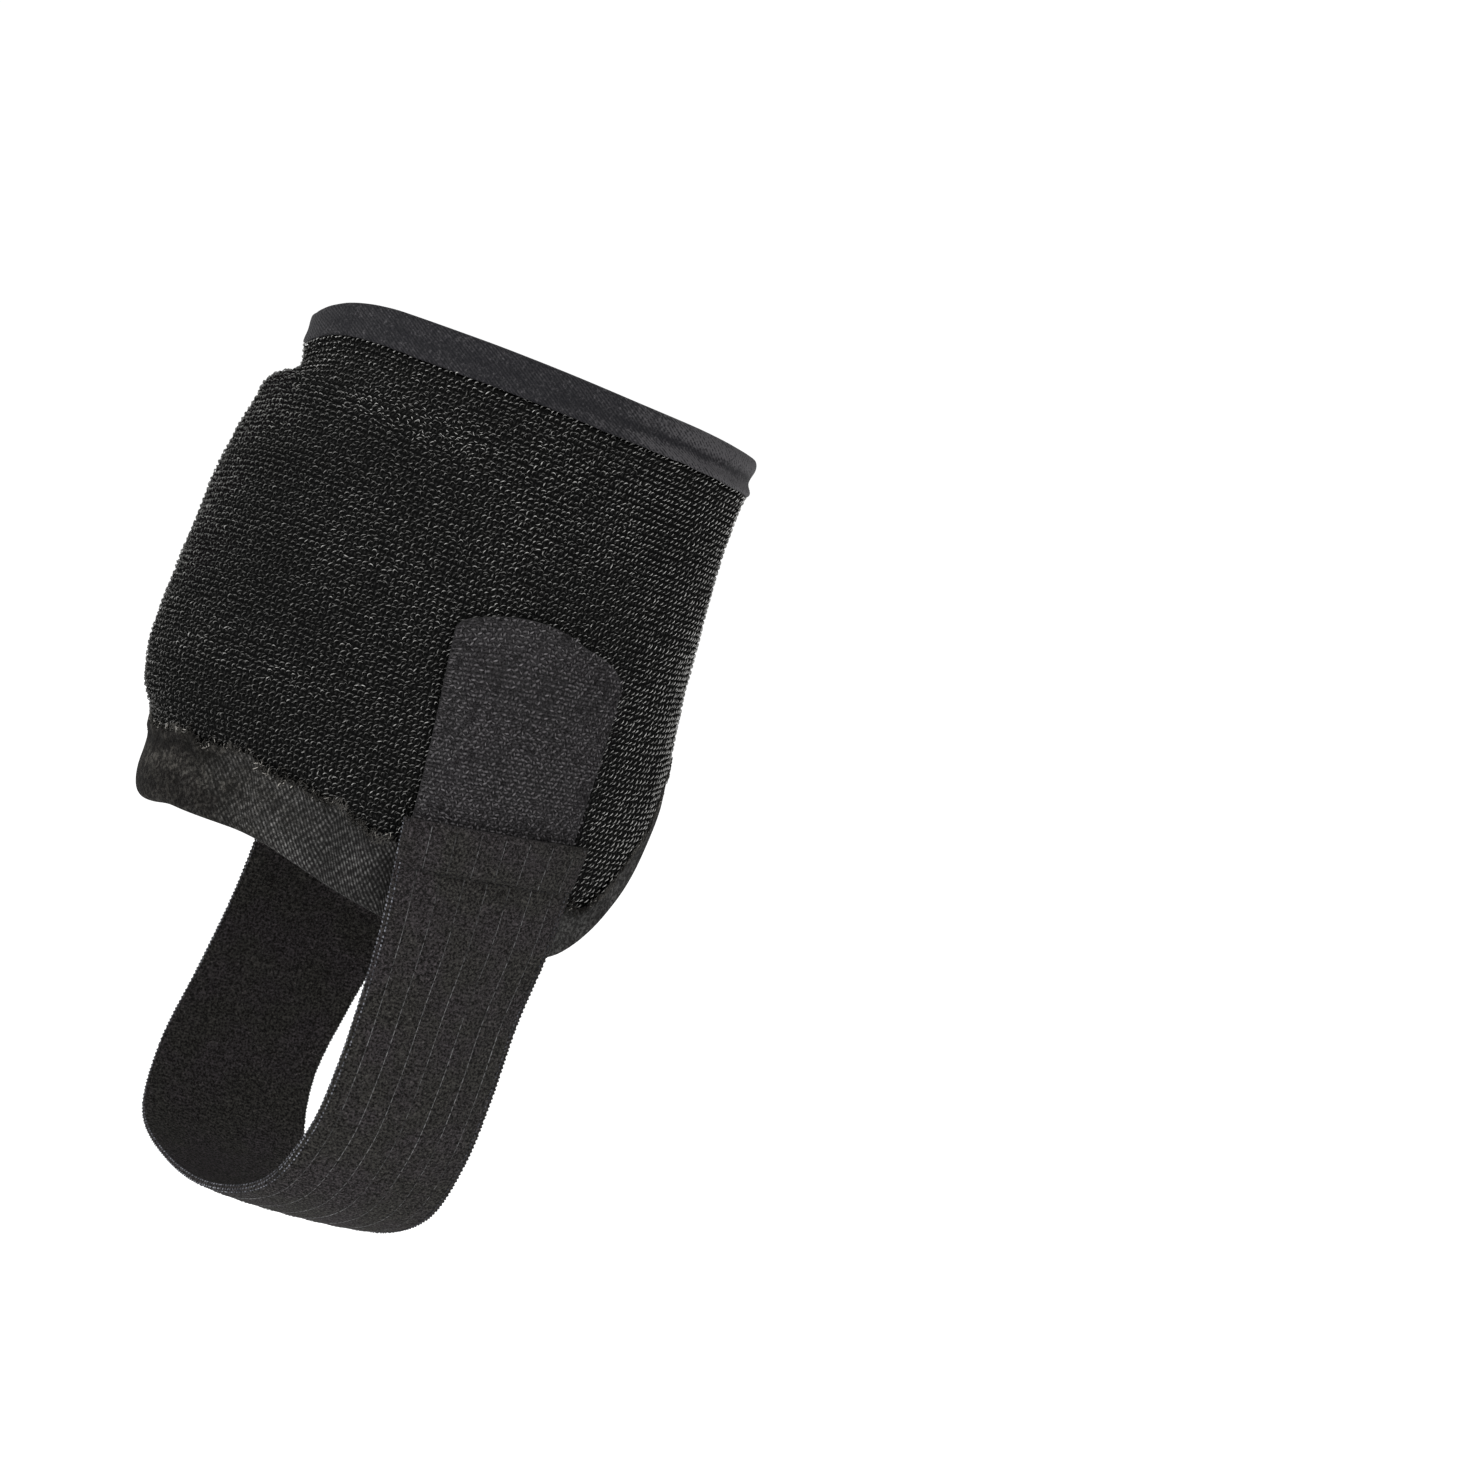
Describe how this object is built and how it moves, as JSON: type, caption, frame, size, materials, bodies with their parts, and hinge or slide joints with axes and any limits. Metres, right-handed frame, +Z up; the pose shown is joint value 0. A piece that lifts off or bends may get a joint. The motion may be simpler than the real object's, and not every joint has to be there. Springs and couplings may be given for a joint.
{
  "type": "achilles tendon brace",
  "caption": "Padded knitted ankle sleeve with taped edges, a swollen tendon pad at the back and an elastic stirrup strap closed by a hook tab on the outer side.",
  "frame": {"origin": "middle of the hollow that the ankle fills, on the sleeve's axis about halfway up the sleeve", "axes": "+Z up the leg, +X towards the toes, +Y to the inner side, so the hook tab is on the -Y side"},
  "size_m": [0.1093, 0.0858, 0.1779],
  "materials": {
    "loop_knit": "looped knit, near black",
    "stretch_tape": "smooth stretch twill, charcoal",
    "brushed_tape": "brushed stretch knit, charcoal",
    "plush_elastic": "plush elastic with pale lengthwise lines",
    "hook_fabric": "matte hook cloth, dark grey"
  },
  "bodies": {
    "root": {"sleeve": "loop_knit", "top_tape": "stretch_tape", "bottom_tape": "brushed_tape", "arch_strap": "plush_elastic", "hook_tab": "hook_fabric"}
  },
  "joints": []
}
